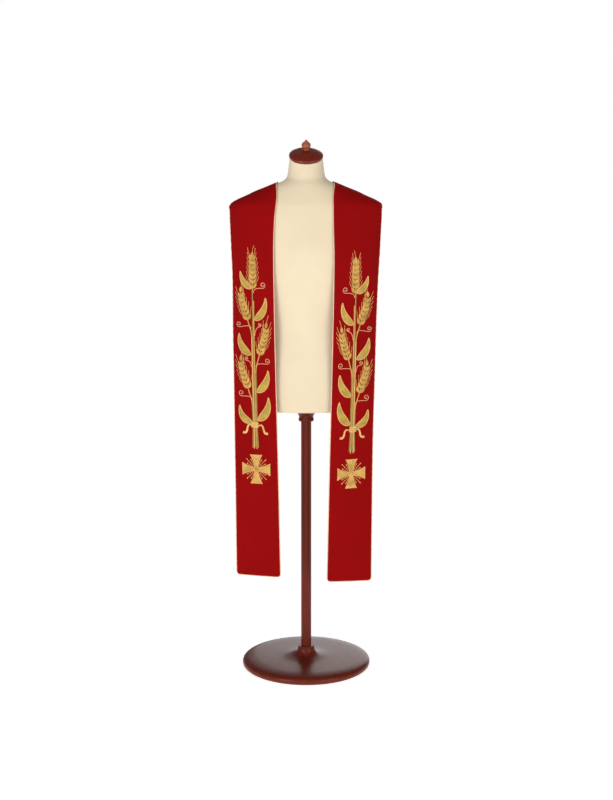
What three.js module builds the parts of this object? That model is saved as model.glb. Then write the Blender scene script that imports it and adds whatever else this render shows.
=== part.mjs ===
// A clerical stole worn by a limbless dress form on a turned wooden stand.
//
// Frame: millimetres, +Z up, origin on the floor under the pole. The front faces -Y, and left and
// right are as seen from the front, so the left band is at -X.
//
// The stole is two bands of interlined cloth, cut alike and joined by one seam at the back of the
// neck, each edged with a round piping and carrying one applied cross. The bands lie on a drape
// surface: the form's own surface over the shoulders, and plumb below its widest level, as hanging
// cloth is. Every piece is a closed solid, and pieces that meet keep a small gap.
import * as THREE from "three";

// ---- Driving dimensions -------------------------------------------------------------------------
const CLOTH = 2.0; // wall of a band: face, interlining and lining sewn as one
const REST_GAP = 2.2; // from the form's covering to the underside of the cloth
const JOIN_GAP = 0.3; // between pieces that are sewn or set together
const PIPING_RADIUS = 1.6;
const CORNER_RADIUS = 9; // of a band's two lower corners
const STOLE_SHIFT = -7; // how far off the form's middle the stole hangs
const SEAM_X = 7; // of the back seam, which has slipped towards the band that hangs lower
const END_HEIGHT = 306; // of the bands' lower ends above the floor, on average

// A band's sections, from its lower end up the front, over the shoulder and down to the back seam.
// x is measured out from the stole's middle. bow is how far the middle of a section stands out from
// the line between its edges, and rest says how far it lies on the drape surface, from 0 to 1.
const BAND_SECTIONS = [
  { at: "end", inner: [72, -101, END_HEIGHT], outer: [205, -66, END_HEIGHT], bow: 3, rest: 0 },
  { at: "thigh", inner: [79, -106, 690], outer: [207, -60, 690], bow: 6, rest: 0 },
  { at: "waist", inner: [86, -111, 1010], outer: [211, -52, 1010], bow: 10, rest: 0.4 },
  { at: "chest", inner: [90, -114, 1262], outer: [216, -46, 1262], bow: 13, rest: 1 },
  { at: "collarbone", inner: [88, -99, 1388], outer: [228, -29, 1392], bow: 10, rest: 1 },
  { at: "shoulder front", inner: [86, -62, 1466], outer: [229, -20, 1431], bow: 6, rest: 1 },
  { at: "shoulder ridge", inner: [87, -2, 1502], outer: [228, 10, 1441], bow: 4, rest: 1 },
  { at: "shoulder back", inner: [78, 50, 1484], outer: [208, 56, 1412], bow: 6, rest: 1 },
  { at: "blade", inner: [44, 80, 1456], outer: [128, 98, 1338], bow: 8, rest: 1 },
  { at: "back seam", inner: [0, 92, 1428], outer: [0, 118, 1262], bow: 4, rest: 1 },
];

// The two bands differ only in how they hang: how much higher than average the end is, how far its
// outer edge stands back from its inner one, and how far in the inner edge lies on the shoulder.
const BANDS = [
  { name: "left", side: -1, lift: 7, endSetBack: 35, neckIn: 8 },
  { name: "right", side: 1, lift: -7, endSetBack: 14, neckIn: 0 },
];

// The form's cross-sections, from its underside up to the slanted top of its neck. A section is a
// rounded oval: half is half its width, and front and back are its depths from its centre at y.
// power 2 is an ellipse, and more is squarer. tilt is how many degrees the section leans forward.
const FORM_SECTIONS = [
  { z: 820, y: 0, half: 172, front: 106, back: 104, power: 2.2, tilt: 0 },
  { z: 880, y: 0, half: 177, front: 109, back: 107, power: 2.2, tilt: 0 },
  { z: 960, y: 0, half: 171, front: 106, back: 102, power: 2.2, tilt: 0 },
  { z: 1065, y: 0, half: 161, front: 101, back: 94, power: 2.2, tilt: 0 },
  { z: 1160, y: 0, half: 172, front: 110, back: 104, power: 2.2, tilt: 0 },
  { z: 1262, y: 0, half: 192, front: 119, back: 115, power: 2.25, tilt: 0 },
  { z: 1300, y: 0, half: 200, front: 117, back: 116, power: 2.25, tilt: 0 },
  { z: 1350, y: 0, half: 210, front: 110, back: 112, power: 2.2, tilt: 0 },
  { z: 1392, y: 0, half: 218, front: 102, back: 106, power: 2.15, tilt: 0 },
  { z: 1412, y: 0, half: 225, front: 98, back: 102, power: 2.15, tilt: 0 },
  { z: 1428, y: 0, half: 229, front: 94, back: 98, power: 2.1, tilt: 0 },
  { z: 1440, y: 0, half: 224, front: 91, back: 95, power: 2.1, tilt: 0 },
  { z: 1448, y: 0, half: 213, front: 88, back: 92, power: 2.1, tilt: 0 },
  { z: 1467, y: 0, half: 171, front: 81, back: 84, power: 2.05, tilt: 0 },
  { z: 1485, y: 0, half: 130, front: 74, back: 75, power: 2, tilt: 0 },
  { z: 1501, y: 0, half: 92, front: 67, back: 66, power: 2, tilt: 0 },
  { z: 1511, y: 0, half: 69, front: 61, back: 60, power: 2, tilt: 0 },
  { z: 1524, y: -2, half: 57, front: 57, back: 56, power: 2, tilt: 6 },
  { z: 1552, y: -5, half: 52.5, front: 53, back: 53, power: 2, tilt: 15 },
  { z: 1580, y: -8, half: 50, front: 50, back: 50, power: 2, tilt: 27 },
];
// The levels of the form's widest, foremost and rearmost sections, below which cloth hangs plumb.
const WIDEST_Z = 1428;
const FOREMOST_Z = 1262;
const REARMOST_Z = 1300;

// The applied cross: four flared arms of equal length, centred on the band.
const CROSS = { height: 640, reach: 47, waist: 8, flare: 20, thickness: 0.8 };

// The stand and the neck's cap are turned, each from a profile of [radius, height] points.
const POLE_RADIUS = 16;
const NECK_CAP_PROFILE = [
  [0, 0], [48.5, 0], [51, 2.5], [51, 7.5], [48.5, 10.5], [42, 14.5], [31, 19.5], [18, 23.2], [8, 24.6],
  [0, 24.6],
];
const FINIAL_PROFILE = [
  [0, 0], [9, 0], [9.6, 1.5], [8, 3.6], [10.4, 6.6], [13.2, 10.6], [13.8, 14], [12.4, 18.4],
  [8.8, 22.4], [5.4, 25], [4.4, 27], [3.2, 29.6], [0, 31],
];
const BASE_PROFILE = [
  [0, 0], [195, 0], [200, 5], [200, 15], [194, 21], [176, 25], [60, 30], [34, 36], [27, 46],
  [25, 60], [0, 60],
];
const COLLAR_PROFILE = [[0, 0], [22, 0], [24, 4], [22, 14], [30, 26], [56, 34], [60, 37], [60, 40], [0, 40]];

// Mesh fineness.
const BAND_COLUMNS = 11;
const SHOULDER_STEP = 17; // between a band's mesh rows where it curves
const HANGING_STEP = 64; // between them where it hangs straight
const CORNER_STEPS = 3;
const PIPING_SIDES = 6;
const FORM_SEGMENTS = 36;
const FORM_STEP = 34;
const TURNED_SEGMENTS = 36;

// ---- Small helpers ------------------------------------------------------------------------------
const lerp = THREE.MathUtils.lerp;
const range = (count, make) => Array.from({ length: count }, (_, i) => make(i));

// A smooth curve through the rows' values of one column, which never swings past them.
function column(rows, key, z) {
  const last = rows.length - 1;
  if (z <= rows[0].z) return rows[0][key];
  if (z >= rows[last].z) return rows[last][key];
  const slope = (i) => (rows[i + 1][key] - rows[i][key]) / (rows[i + 1].z - rows[i].z);
  const tangent = (i) => {
    if (i === 0 || i === last) return 0;
    const [a, b] = [slope(i - 1), slope(i)];
    return a * b <= 0 ? 0 : (2 * a * b) / (a + b);
  };
  const i = rows.findIndex((row) => row.z > z) - 1;
  const step = rows[i + 1].z - rows[i].z;
  const t = (z - rows[i].z) / step;
  const [from, to] = [rows[i][key], rows[i + 1][key]];
  return (
    from * (1 + 2 * t) * (1 - t) ** 2 +
    to * t * t * (3 - 2 * t) +
    step * (tangent(i) * t * (1 - t) ** 2 - tangent(i + 1) * t * t * (1 - t))
  );
}

// A closed solid through rings of as many points each. Its end faces join each ring's two halves.
function loft(rings) {
  const around = rings[0].length;
  const positions = rings.flat().flatMap((p) => [p.x, p.y, p.z]);
  const index = [];
  const quad = (a, b, c, d) => index.push(a, b, c, a, c, d);
  for (let row = 0; row + 1 < rings.length; row++)
    for (let i = 0; i < around; i++) {
      const next = (i + 1) % around;
      quad(row * around + i, row * around + next, (row + 1) * around + next, (row + 1) * around + i);
    }
  const top = (rings.length - 1) * around;
  for (let i = 0; i + 1 < around / 2; i++) {
    quad(around - 1 - i, around - 2 - i, i + 1, i);
    quad(top + i, top + i + 1, top + around - 2 - i, top + around - 1 - i);
  }
  return closedGeometry(positions, index);
}

// The geometry of these triangles, turned to face outwards whichever way round they came.
function closedGeometry(positions, index) {
  const at = (i) => new THREE.Vector3().fromArray(positions, index[i] * 3);
  let volume = 0;
  for (let i = 0; i < index.length; i += 3) volume += at(i).dot(at(i + 1).cross(at(i + 2)));
  const geometry = new THREE.BufferGeometry();
  geometry.setAttribute("position", new THREE.Float32BufferAttribute(positions, 3));
  geometry.setIndex(volume < 0 ? [...index].reverse() : index);
  geometry.computeVertexNormals();
  return geometry;
}

function turned(profile) {
  const points = profile.map(([radius, height]) => new THREE.Vector2(radius, height));
  return new THREE.LatheGeometry(points, TURNED_SEGMENTS).rotateX(Math.PI / 2);
}

// ---- The dress form's surface -------------------------------------------------------------------
const formColumn = (key, z) => column(FORM_SECTIONS, key, z);

// How far the point lies outside the drape surface, as a share of the section's size there.
function drapeExcess(p) {
  const half = formColumn("half", Math.max(p.z, WIDEST_Z));
  const front = formColumn("front", Math.max(p.z, FOREMOST_Z));
  const back = formColumn("back", Math.max(p.z, REARMOST_Z));
  const depth = p.y < 0 ? front : back;
  const power = formColumn("power", Math.max(p.z, FOREMOST_Z));
  return (Math.abs(p.x / half) ** power + Math.abs(p.y / depth) ** power) ** (1 / power) - 1;
}

// The drape surface's nearest point.
function onDrape(point) {
  const PROBE = 0.5;
  const STEPS = 6;
  const p = point.clone();
  for (let i = 0; i < STEPS; i++) {
    const gradient = new THREE.Vector3(
      ...["x", "y", "z"].map((axis) => {
        const ahead = p.clone();
        const behind = p.clone();
        ahead[axis] += PROBE;
        behind[axis] -= PROBE;
        return (drapeExcess(ahead) - drapeExcess(behind)) / (2 * PROBE);
      }),
    );
    p.addScaledVector(gradient, -drapeExcess(p) / gradient.lengthSq());
  }
  return p;
}

function formRing(z) {
  const tilt = THREE.MathUtils.degToRad(formColumn("tilt", z));
  const power = 2 / formColumn("power", z);
  return range(FORM_SEGMENTS, (i) => {
    const angle = ((i + 0.5) / FORM_SEGMENTS) * 2 * Math.PI;
    const [c, s] = [Math.cos(angle), Math.sin(angle)];
    const x = formColumn("half", z) * Math.sign(c) * Math.abs(c) ** power;
    const y = formColumn(s < 0 ? "front" : "back", z) * Math.sign(s) * Math.abs(s) ** power;
    return new THREE.Vector3(x, formColumn("y", z) + y * Math.cos(tilt), z + y * Math.sin(tilt));
  });
}

// Levels for the form's rings: every table row, with even steps between rows that are far apart.
function formLevels() {
  const levels = [FORM_SECTIONS[0].z];
  for (let i = 0; i + 1 < FORM_SECTIONS.length; i++) {
    const [from, to] = [FORM_SECTIONS[i].z, FORM_SECTIONS[i + 1].z];
    const steps = Math.ceil((to - from) / FORM_STEP);
    for (let k = 1; k <= steps; k++) levels.push(lerp(from, to, k / steps));
  }
  return levels;
}

// ---- One band of the stole ----------------------------------------------------------------------
// A band as a surface: place(distance, across, height) is the point that lies distance up from the
// lower end along the band's middle, across from the middle towards the outer edge, and height out
// from the underside of the cloth.
function bandSurface({ side, lift, endSetBack, neckIn }) {
  const sections = BAND_SECTIONS.map(({ inner: [x, y, z], ...section }) => ({
    ...section,
    inner: [section.at.startsWith("shoulder") ? x - neckIn : x, y, z],
  }));
  const end = sections[0];
  end.inner = [end.inner[0], end.inner[1], END_HEIGHT + lift];
  end.outer = [end.outer[0], end.inner[1] + endSetBack, END_HEIGHT + lift];
  const seam = sections[sections.length - 1];
  const seamX = side * (SEAM_X - STOLE_SHIFT);
  seam.inner = [seamX, seam.inner[1], seam.inner[2]];
  seam.outer = [seamX, seam.outer[1], seam.outer[2]];
  const edge = (key) =>
    new THREE.CatmullRomCurve3(
      sections.map((section) => {
        const [x, y, z] = section[key];
        return new THREE.Vector3(STOLE_SHIFT + side * x, y, z);
      }),
    );
  const [inner, outer] = [edge("inner"), edge("outer")];
  const blend = (key, t) => {
    const at = Math.min(t, 1) * (sections.length - 1);
    const i = Math.min(Math.floor(at), sections.length - 2);
    return lerp(sections[i][key], sections[i + 1][key], THREE.MathUtils.smoothstep(at - i, 0, 1));
  };
  // The point at a share t of the way along, and a share q of the way from inner to outer edge. A
  // section bows forward in front of the shoulder and backward behind it, and less so close to it.
  const BOW_TURN = 40;
  const share = (t, q) => {
    const chord = inner.getPoint(t).lerp(outer.getPoint(t), q);
    const forward = THREE.MathUtils.clamp(-chord.y / BOW_TURN, -1, 1);
    chord.y -= 4 * q * (1 - q) * blend("bow", t) * forward;
    const rest = blend("rest", t);
    return rest > 0 ? chord.clone().lerp(onDrape(chord), rest) : chord;
  };

  const SAMPLES = 240;
  const middle = range(SAMPLES + 1, (i) => share(i / SAMPLES, 0.5));
  const reached = [0];
  for (let i = 1; i <= SAMPLES; i++) reached.push(reached[i - 1] + middle[i].distanceTo(middle[i - 1]));
  const length = reached[SAMPLES];
  const shareAt = (distance) => {
    const past = reached.findIndex((d) => d > distance);
    const i = past < 0 ? SAMPLES : Math.max(past, 1);
    return (i - 1 + (distance - reached[i - 1]) / (reached[i] - reached[i - 1])) / SAMPLES;
  };
  const width = (distance) => {
    const t = shareAt(distance);
    const COUNT = 12;
    const points = range(COUNT + 1, (i) => share(t, i / COUNT));
    return points.slice(1).reduce((sum, p, i) => sum + p.distanceTo(points[i]), 0);
  };

  const PROBE = 1;
  const normal = (distance, q) => {
    const clamped = THREE.MathUtils.clamp(distance, PROBE, length - PROBE);
    const along = share(shareAt(clamped + PROBE), q).sub(share(shareAt(clamped - PROBE), q));
    const t = shareAt(clamped);
    const across = share(t, Math.min(q + 0.01, 1)).sub(share(t, Math.max(q - 0.01, 0)));
    return along.cross(across).multiplyScalar(-side).normalize();
  };
  const place = (distance, q, height) =>
    share(shareAt(distance), q).addScaledVector(normal(distance, q), REST_GAP + height);
  return { side, length, width, place };
}

// Distances of a band's mesh rows from its lower end, close together where it curves.
function bandRows(band) {
  const CURVES_ABOVE = 900;
  const corner = range(CORNER_STEPS + 1, (i) => {
    const turn = ((i / CORNER_STEPS) * Math.PI) / 2;
    return CORNER_RADIUS * (1 - Math.cos(turn));
  });
  const hanging = Math.ceil((CURVES_ABOVE - CORNER_RADIUS) / HANGING_STEP);
  const curved = Math.ceil((band.length - CURVES_ABOVE) / SHOULDER_STEP);
  return [
    ...corner,
    ...range(hanging, (i) => lerp(CORNER_RADIUS, CURVES_ABOVE, (i + 1) / hanging)),
    ...range(curved, (i) => lerp(CURVES_ABOVE, band.length, (i + 1) / curved)),
  ];
}

// How far a rounded lower corner pulls the band's edge in, at this distance from the end.
function cornerInset(distance) {
  const short = Math.max(CORNER_RADIUS - distance, 0);
  return CORNER_RADIUS - Math.sqrt(CORNER_RADIUS ** 2 - short ** 2);
}

// Stops a piece half a joining gap short of the back seam.
function trimAtSeam(ring, band) {
  ring.forEach((p) => {
    p.x = SEAM_X + (band.side * JOIN_GAP) / 2;
  });
  return ring;
}

function bandGeometry(band) {
  const rings = bandRows(band).map((distance) => {
    const inset = cornerInset(distance) / band.width(distance);
    const across = range(BAND_COLUMNS + 1, (i) => lerp(inset, 1 - inset, i / BAND_COLUMNS));
    const face = across.map((q) => band.place(distance, q, CLOTH));
    const underside = across.map((q) => band.place(distance, q, 0));
    return [...face, ...underside.reverse()];
  });
  trimAtSeam(rings[rings.length - 1], band);
  return loft(rings);
}

// The piping runs down the inner edge from the back seam, round the lower end and up the outer edge.
function pipingGeometry(band) {
  const rows = bandRows(band);
  const up = rows.slice(1);
  const edgeShare = (distance) => cornerInset(distance) / band.width(distance);
  const endShares = range(5, (i) => lerp(edgeShare(0), 1 - edgeShare(0), i / 4));
  const path = [
    ...up.toReversed().map((distance) => [distance, edgeShare(distance)]),
    ...endShares.map((q) => [0, q]),
    ...up.map((distance) => [distance, 1 - edgeShare(distance)]),
  ];
  const edge = path.map(([distance, q]) => band.place(distance, q, CLOTH / 2));
  const rings = edge.map((point, i) => {
    const [before, after] = [edge[Math.max(i - 1, 0)], edge[Math.min(i + 1, edge.length - 1)]];
    const tangent = after.clone().sub(before).normalize();
    const [distance, q] = path[i];
    const normal = band.place(distance, q, CLOTH).sub(band.place(distance, q, 0)).normalize();
    const outward = tangent.clone().cross(normal).multiplyScalar(band.side).normalize();
    const centre = point.clone().addScaledVector(outward, JOIN_GAP + PIPING_RADIUS);
    return range(PIPING_SIDES, (k) => {
      const angle = ((k + 0.5) / PIPING_SIDES) * 2 * Math.PI;
      return centre
        .clone()
        .addScaledVector(outward, Math.cos(angle) * PIPING_RADIUS)
        .addScaledVector(normal, Math.sin(angle) * PIPING_RADIUS);
    });
  });
  trimAtSeam(rings[0], band);
  trimAtSeam(rings[rings.length - 1], band);
  return loft(rings);
}

// A thin plate on the band's face, from its centre out to the cross's outline in even rings.
function crossGeometry(band) {
  const { height, reach, waist, flare, thickness } = CROSS;
  const EDGE_STEPS = 3;
  const RINGS = 3;
  const arm = [[waist, waist], [flare, reach], [-flare, reach]];
  const corners = range(4, (quarter) => {
    const turn = new THREE.Vector2();
    return arm.map(([x, y]) => new THREE.Vector2(x, y).rotateAround(turn, (quarter * Math.PI) / 2));
  }).flat();
  const outline = corners.flatMap((corner, i) => {
    const next = corners[(i + 1) % corners.length];
    return range(EDGE_STEPS, (k) => corner.clone().lerp(next, k / EDGE_STEPS));
  });
  const level = (share, out) =>
    outline.map((p) => {
      const distance = height - END_HEIGHT + p.y * share;
      const q = 0.5 + (band.side * p.x * share) / band.width(distance);
      return band.place(distance, q, CLOTH + JOIN_GAP + out);
    });
  const layers = [0, thickness].map((out) => [
    [band.place(height - END_HEIGHT, 0.5, CLOTH + JOIN_GAP + out)],
    ...range(RINGS, (i) => level((i + 1) / RINGS, out)),
  ]);
  const count = outline.length;
  const positions = layers.flat(2).flatMap((p) => [p.x, p.y, p.z]);
  const layerSize = 1 + RINGS * count;
  const index = [];
  const ringPoint = (layer, ring, i) => layer * layerSize + 1 + (ring - 1) * count + (i % count);
  for (let i = 0; i < count; i++) {
    for (const layer of [0, 1]) {
      const face = [layer * layerSize, ringPoint(layer, 1, i), ringPoint(layer, 1, i + 1)];
      for (let ring = 1; ring < RINGS; ring++) {
        const [a, b] = [ringPoint(layer, ring, i), ringPoint(layer, ring, i + 1)];
        const [c, d] = [ringPoint(layer, ring + 1, i + 1), ringPoint(layer, ring + 1, i)];
        face.push(a, d, c, a, c, b);
      }
      index.push(...(layer ? face : face.toReversed()));
    }
    const [a, b] = [ringPoint(0, RINGS, i), ringPoint(0, RINGS, i + 1)];
    const [c, d] = [ringPoint(1, RINGS, i + 1), ringPoint(1, RINGS, i)];
    index.push(a, b, c, a, c, d);
  }
  return closedGeometry(positions, index);
}

// ---- Materials and assembly ---------------------------------------------------------------------
const material = (color, roughness) => new THREE.MeshStandardMaterial({ color, roughness, metalness: 0 });
const cloth = material(0x9c0c12, 0.8);
const goldCord = new THREE.MeshStandardMaterial({ color: 0xd8b27a, roughness: 0.45, metalness: 0.5 });
const goldThread = new THREE.MeshStandardMaterial({ color: 0xc9a24a, roughness: 0.4, metalness: 0.5 });
const jersey = material(0xe6dcc2, 0.85);
const mahogany = material(0x5c1a10, 0.3);

const root = new THREE.Group();

function addMesh(parent, name, geometry, finish) {
  const mesh = new THREE.Mesh(geometry, finish);
  mesh.name = name;
  parent.add(mesh);
  return mesh;
}

for (const options of BANDS) {
  const band = bandSurface(options);
  addMesh(root, `band_${options.name}`, bandGeometry(band), cloth);
  addMesh(root, `piping_${options.name}`, pipingGeometry(band), goldCord);
  addMesh(root, `cross_${options.name}`, crossGeometry(band), goldThread);
}

addMesh(root, "form_torso", loft(formLevels().map(formRing)), jersey);

// The cap and its finial sit square on the neck's slanted top.
const neckTop = FORM_SECTIONS[FORM_SECTIONS.length - 1];
const crown = new THREE.Group();
crown.position.set(0, neckTop.y, neckTop.z);
crown.rotation.x = THREE.MathUtils.degToRad(neckTop.tilt);
root.add(crown);
const capHeight = NECK_CAP_PROFILE[NECK_CAP_PROFILE.length - 1][1];
addMesh(crown, "neck_cap", turned(NECK_CAP_PROFILE), mahogany).position.z = JOIN_GAP;
addMesh(crown, "finial", turned(FINIAL_PROFILE), mahogany).position.z = capHeight + 2 * JOIN_GAP;

// The stand: a turned base, a plain pole, and a collar that carries the form's flat underside.
const baseTop = BASE_PROFILE[BASE_PROFILE.length - 1][1];
const collarHeight = COLLAR_PROFILE[COLLAR_PROFILE.length - 1][1];
const collarFoot = FORM_SECTIONS[0].z - JOIN_GAP - collarHeight;
const poleFoot = baseTop + JOIN_GAP;
const poleLength = collarFoot - JOIN_GAP - poleFoot;
const poleProfile = [[0, 0], [POLE_RADIUS, 0], [POLE_RADIUS, poleLength], [0, poleLength]];
addMesh(root, "stand_base", turned(BASE_PROFILE), mahogany);
addMesh(root, "stand_pole", turned(poleProfile), mahogany).position.z = poleFoot;
addMesh(root, "stand_collar", turned(COLLAR_PROFILE), mahogany).position.z = collarFoot;

export default root;
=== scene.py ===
"""The looks of a clerical stole worn by a limbless dress form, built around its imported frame.

Metres, +Z up. The front faces -Y, and left and right are as seen from the front. The stole's bands
and the form are rebuilt finely by the rules that the part's source states, from the same tables.
Everything that is sewn on a band is laid out flat first, in the band's own coordinates: u runs
across it from its middle to its outer edge, and v runs up it from its lower end, so that the two
bands mirror each other.
"""

import math

import bpy
import numpy as np
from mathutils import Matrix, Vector


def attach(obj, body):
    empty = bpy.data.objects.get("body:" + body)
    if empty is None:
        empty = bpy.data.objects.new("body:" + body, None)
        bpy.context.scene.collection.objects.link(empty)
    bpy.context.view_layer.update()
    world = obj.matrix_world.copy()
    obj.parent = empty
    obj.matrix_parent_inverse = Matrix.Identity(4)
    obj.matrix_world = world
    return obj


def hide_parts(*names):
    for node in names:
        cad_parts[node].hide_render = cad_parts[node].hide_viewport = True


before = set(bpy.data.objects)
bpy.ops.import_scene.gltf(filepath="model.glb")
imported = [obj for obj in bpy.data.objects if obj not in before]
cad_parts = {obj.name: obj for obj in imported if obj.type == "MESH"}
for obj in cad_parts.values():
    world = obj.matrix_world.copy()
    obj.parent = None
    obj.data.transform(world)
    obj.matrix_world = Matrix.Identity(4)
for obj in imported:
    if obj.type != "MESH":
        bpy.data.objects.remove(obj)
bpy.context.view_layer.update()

# ---- Sizes that the part's source states -------------------------------------
CLOTH = 0.002
REST_GAP = 0.0022
PIPING_RADIUS = 0.0016
CORNER_RADIUS = 0.009
STOLE_SHIFT = -0.007
SEAM_X = 0.007
SEAM_GAP = 0.0001  # of each band's edge from the seam's middle
END_HEIGHT = 0.306
RIDGE_FADE = 0.04  # how near the shoulder's ridge the bow of the cloth begins to fade

# A band's sections: inner edge, outer edge, how far the cloth between them bows out, and rest, which
# is 1 where it lies on the form and 0 where it hangs free.
BAND_COLUMNS = ("inner_x", "inner_y", "inner_z", "outer_x", "outer_y", "outer_z", "bow", "rest")
BAND_SECTIONS = np.array([
    [0.072, -0.101, END_HEIGHT, 0.205, -0.066, END_HEIGHT, 0.003, 0.0],  # end
    [0.079, -0.106, 0.690, 0.207, -0.060, 0.690, 0.006, 0.0],  # thigh
    [0.086, -0.111, 1.010, 0.211, -0.052, 1.010, 0.010, 0.4],  # waist
    [0.090, -0.114, 1.262, 0.216, -0.046, 1.262, 0.013, 1.0],  # chest
    [0.088, -0.099, 1.388, 0.228, -0.029, 1.392, 0.010, 1.0],  # collarbone
    [0.086, -0.062, 1.466, 0.229, -0.020, 1.431, 0.006, 1.0],  # shoulder front
    [0.087, -0.002, 1.502, 0.228, 0.010, 1.441, 0.004, 1.0],  # shoulder ridge
    [0.078, 0.050, 1.484, 0.208, 0.056, 1.412, 0.006, 1.0],  # shoulder back
    [0.044, 0.080, 1.456, 0.128, 0.098, 1.338, 0.008, 1.0],  # blade
    [0.000, 0.092, 1.428, 0.000, 0.118, 1.262, 0.004, 1.0],  # back seam
])
SHOULDER = slice(5, 8)  # the sections that lie on the shoulder

# How the bands differ: lift is how much higher the lower end hangs, end_set_back how far its outer
# corner is behind its inner one, and neck_in how much closer to the neck it lies on the shoulder.
BANDS = (
    {"name": "left", "side": -1, "lift": 0.007, "end_set_back": 0.035, "neck_in": 0.008},
    {"name": "right", "side": 1, "lift": -0.007, "end_set_back": 0.014, "neck_in": 0.0},
)

# The form's sections: height, centre, half-width, depths in front and behind, the power of the
# superellipse, which is rounder at 2, and the tilt towards the front in degrees.
FORM_COLUMNS = ("z", "y", "half", "front", "back", "power", "tilt")
FORM_SECTIONS = np.array([
    [0.820, 0.000, 0.1720, 0.106, 0.104, 2.20, 0],
    [0.880, 0.000, 0.1770, 0.109, 0.107, 2.20, 0],
    [0.960, 0.000, 0.1710, 0.106, 0.102, 2.20, 0],
    [1.065, 0.000, 0.1610, 0.101, 0.094, 2.20, 0],
    [1.160, 0.000, 0.1720, 0.110, 0.104, 2.20, 0],
    [1.262, 0.000, 0.1920, 0.119, 0.115, 2.25, 0],
    [1.300, 0.000, 0.2000, 0.117, 0.116, 2.25, 0],
    [1.350, 0.000, 0.2100, 0.110, 0.112, 2.20, 0],
    [1.392, 0.000, 0.2180, 0.102, 0.106, 2.15, 0],
    [1.412, 0.000, 0.2250, 0.098, 0.102, 2.15, 0],
    [1.428, 0.000, 0.2290, 0.094, 0.098, 2.10, 0],
    [1.440, 0.000, 0.2240, 0.091, 0.095, 2.10, 0],
    [1.448, 0.000, 0.2130, 0.088, 0.092, 2.10, 0],
    [1.467, 0.000, 0.1710, 0.081, 0.084, 2.05, 0],
    [1.485, 0.000, 0.1300, 0.074, 0.075, 2.00, 0],
    [1.501, 0.000, 0.0920, 0.067, 0.066, 2.00, 0],
    [1.511, 0.000, 0.0690, 0.061, 0.060, 2.00, 0],
    [1.524, -0.002, 0.0570, 0.057, 0.056, 2.00, 6],
    [1.552, -0.005, 0.0525, 0.053, 0.053, 2.00, 15],
    [1.580, -0.008, 0.0500, 0.050, 0.050, 2.00, 27],
])

# Cloth hangs straight down from these heights at the sides, in front and behind.
WIDEST_Z = 1.428
FOREMOST_Z = 1.262
REARMOST_Z = 1.300

# ---- Sizes of what only shows here -------------------------------------------
CORD_TWIST = 0.0075  # length of one turn of a two-strand cord
DEEPEST_CREASE = 0.0016  # which keeps the cloth clear of the form
PUCKER = {"depth": 0.00035, "spacing": 0.021, "reach": 0.05}  # reach is a share of the band's width
CORD_LOBES = (0.72, 0.28)  # a cord's least radius, and what its strands add to it, as shares of its most
COUCHED = 0.75  # how far a sewn cord's middle is above the cloth, as a share of its radius
SUNK = 0.0002  # how far the rim of raised stitching lies below the cloth's face

# Soft creases of a band: where across it (0 inner edge, 1 outer), how far up, its length and width,
# how much it leans outward on its way up, and its depth, which is less than 0 for a trough.
CREASES = {
    "left": np.array([
        [0.30, 0.22, 0.34, 0.13, 0.05, -0.0016],
        [0.72, 0.48, 0.46, 0.16, -0.08, 0.0015],
        [0.55, 0.83, 0.26, 0.12, 0.20, -0.0008],
        [0.42, 1.18, 0.10, 0.14, 0.10, 0.0012],
    ]),
    "right": np.array([
        [0.66, 0.18, 0.30, 0.14, -0.06, -0.0017],
        [0.28, 0.44, 0.40, 0.15, 0.06, 0.0014],
        [0.62, 0.74, 0.32, 0.13, 0.12, -0.0009],
        [0.52, 1.20, 0.12, 0.13, -0.12, 0.0011],
    ]),
}

# ---- Small helpers -----------------------------------------------------------


def normalised(vectors):
    return vectors / np.linalg.norm(vectors, axis=-1, keepdims=True)


def smooth_column(xs, ys, x):
    """A smooth curve through the values ys at xs, which never swings past them."""
    slopes = np.diff(ys) / np.diff(xs)
    before, after = slopes[:-1], slopes[1:]
    same_way = before * after > 0
    harmonic = 2 * before * after / np.where(same_way, before + after, 1)
    tangents = np.concatenate([[0], np.where(same_way, harmonic, 0), [0]])
    x = np.clip(x, xs[0], xs[-1])
    i = np.clip(np.searchsorted(xs, x, side="right") - 1, 0, len(xs) - 2)
    step = xs[i + 1] - xs[i]
    t = (x - xs[i]) / step
    ends = ys[i] * (1 + 2 * t) * (1 - t) ** 2 + ys[i + 1] * t * t * (3 - 2 * t)
    return ends + step * (tangents[i] * t * (1 - t) ** 2 - tangents[i + 1] * t * t * (1 - t))


def through_points(points, t):
    """The centripetal Catmull-Rom curve through points, at shares t of its stretches."""
    first = 2 * points[0] - points[1]
    last = 2 * points[-1] - points[-2]
    padded = np.vstack([first, points, last])
    at = np.clip(t, 0, 1) * (len(points) - 1)
    i = np.clip(np.floor(at).astype(int), 0, len(points) - 2)
    s = (at - i)[..., None]
    p0, p1, p2, p3 = (padded[i + k] for k in range(4))
    d0, d1, d2 = (np.linalg.norm(b - a, axis=-1, keepdims=True) ** 0.5
                  for a, b in ((p0, p1), (p1, p2), (p2, p3)))
    m1 = ((p1 - p0) / d0 - (p2 - p0) / (d0 + d1) + (p2 - p1) / d1) * d1
    m2 = ((p2 - p1) / d1 - (p3 - p1) / (d1 + d2) + (p3 - p2) / d2) * d1
    cubic = 2 * p1 - 2 * p2 + m1 + m2
    square = -3 * p1 + 3 * p2 - 2 * m1 - m2
    return p1 + m1 * s + square * s**2 + cubic * s**3


def resampled(points, step, *others):
    """The polyline at even steps, with the same done to each array that goes with it."""
    reached = np.concatenate([[0], np.cumsum(np.linalg.norm(np.diff(points, axis=0), axis=1))])
    count = max(2, round(reached[-1] / step) + 1)
    at = np.linspace(0, reached[-1], count)
    even = [np.column_stack([np.interp(at, reached, column) for column in array.T])
            for array in (points, *others)]
    return even if others else even[0]


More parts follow.
